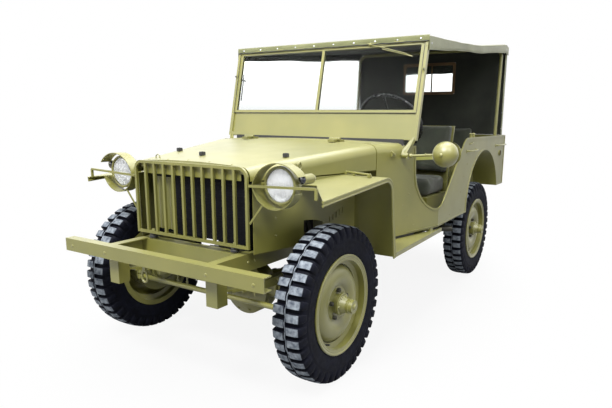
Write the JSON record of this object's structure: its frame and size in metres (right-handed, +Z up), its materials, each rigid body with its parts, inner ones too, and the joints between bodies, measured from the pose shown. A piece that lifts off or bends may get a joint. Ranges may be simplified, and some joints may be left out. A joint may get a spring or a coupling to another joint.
{
  "type": "light four-wheel-drive army car with a canvas top",
  "caption": "Open light four-wheel-drive army car: ladder frame, flat fenders, barred grille, flat hood, folding windshield, canvas top, block-tread wheels that roll and steer.",
  "frame": {"origin": "On the ground, on the centreline, midway between the axles.", "axes": "Z up, X to the vehicle's left, the front faces -Y."},
  "size_m": [1.6455, 3.303, 1.7818],
  "materials": {
    "olive_paint": "satin olive drab paint",
    "tyre_rubber": "black block-tread rubber",
    "window_glass": "clear flat glass",
    "lens_glass": "moulded clear lens",
    "canvas": "olive canvas, dark inside",
    "seat_canvas": "grey-green duck",
    "webbing": "yellow-green webbing",
    "dark_steel": "sooty dark steel",
    "radiator_black": "matt black",
    "red_lens": "red moulded lens",
    "window_binding": "brown leather binding",
    "control_black": "black moulded rim"
  },
  "bodies": {
    "chassis": {"side_rails": "olive_paint", "cross_members": "olive_paint", "front_bumper": "olive_paint", "leaf_springs": "olive_paint", "front_axle": "olive_paint", "rear_axle": "olive_paint", "powertrain": "dark_steel", "drive_shafts": "olive_paint", "exhaust": "dark_steel", "radiator": "radiator_black", "grille_guard": "olive_paint", "front_lamps": "olive_paint", "lamp_lenses": "lens_glass", "front_fenders": "olive_paint", "cowl": "olive_paint", "tub_floor": "olive_paint", "tub_side_left": "olive_paint", "tub_side_right": "olive_paint", "rear_panel": "olive_paint", "wheel_housings": "olive_paint", "running_boards": "olive_paint", "windshield_frame": "olive_paint", "window_glass": "window_glass", "canvas_roof": "canvas", "rear_curtain": "canvas", "curtain_window": "window_binding", "top_bow": "olive_paint", "seat_frames": "olive_paint", "seat_cushions": "seat_canvas", "seat_backs": "seat_canvas", "driver_controls": "olive_paint", "mirror": "olive_paint", "safety_straps": "webbing", "tail_lamps": "red_lens", "spare_wheel": "olive_paint", "spare_tyre": "tyre_rubber"},
    "hood": {"hood": "olive_paint"},
    "knuckle_left": {"knuckle_left": "olive_paint"},
    "knuckle_right": {"knuckle_right": "olive_paint"},
    "tie_rod": {"tie_rod": "olive_paint"},
    "steering_wheel": {"steering_wheel": "control_black"},
    "wheel_front_left": {"wheel_front_left": "olive_paint", "tyre_front_left": "tyre_rubber"},
    "wheel_front_right": {"wheel_front_right": "olive_paint", "tyre_front_right": "tyre_rubber"},
    "wheel_rear_left": {"wheel_rear_left": "olive_paint", "tyre_rear_left": "tyre_rubber"},
    "wheel_rear_right": {"wheel_rear_right": "olive_paint", "tyre_rear_right": "tyre_rubber"}
  },
  "joints": [
    {"name": "steer_left", "type": "hinge", "parent": "chassis", "child": "knuckle_left", "pos_m": [0.5, -1.01, 0.357], "axis": [0, 0, 1], "range_deg": [-26, 26]},
    {"name": "steer_right", "type": "hinge", "parent": "chassis", "child": "knuckle_right", "pos_m": [-0.5, -1.01, 0.357], "axis": [0, 0, 1], "range_deg": [-26, 26]},
    {"name": "tie_rod_swing", "type": "hinge", "parent": "knuckle_left", "child": "tie_rod", "pos_m": [0.5, -1.16, 0.357], "axis": [0, 0, 1], "range_deg": [-26, 26]},
    {"name": "steering_wheel_turn", "type": "hinge", "parent": "chassis", "child": "steering_wheel", "pos_m": [0.33, 0.158, 1.157], "axis": [0, 0.809, 0.5878], "range_deg": [-312, 312]},
    {"name": "hood_lift", "type": "hinge", "parent": "chassis", "child": "hood", "pos_m": [0, -0.481, 1.066], "axis": [-1, 0, 0], "range_deg": [0, 80]},
    {"name": "roll_front_left", "type": "hinge", "parent": "knuckle_left", "child": "wheel_front_left", "pos_m": [0.606, -1.01, 0.357], "axis": [1, 0, 0], "continuous": true},
    {"name": "roll_front_right", "type": "hinge", "parent": "knuckle_right", "child": "wheel_front_right", "pos_m": [-0.606, -1.01, 0.357], "axis": [1, 0, 0], "continuous": true},
    {"name": "roll_rear_left", "type": "hinge", "parent": "chassis", "child": "wheel_rear_left", "pos_m": [0.606, 1.01, 0.357], "axis": [1, 0, 0], "continuous": true},
    {"name": "roll_rear_right", "type": "hinge", "parent": "chassis", "child": "wheel_rear_right", "pos_m": [-0.606, 1.01, 0.357], "axis": [1, 0, 0], "continuous": true}
  ],
  "couplings": [
    {"joint": "steer_right", "follows": "steer_left", "ratio": 1},
    {"joint": "tie_rod_swing", "follows": "steer_left", "ratio": -1},
    {"joint": "steering_wheel_turn", "follows": "steer_left", "ratio": 12}
  ]
}
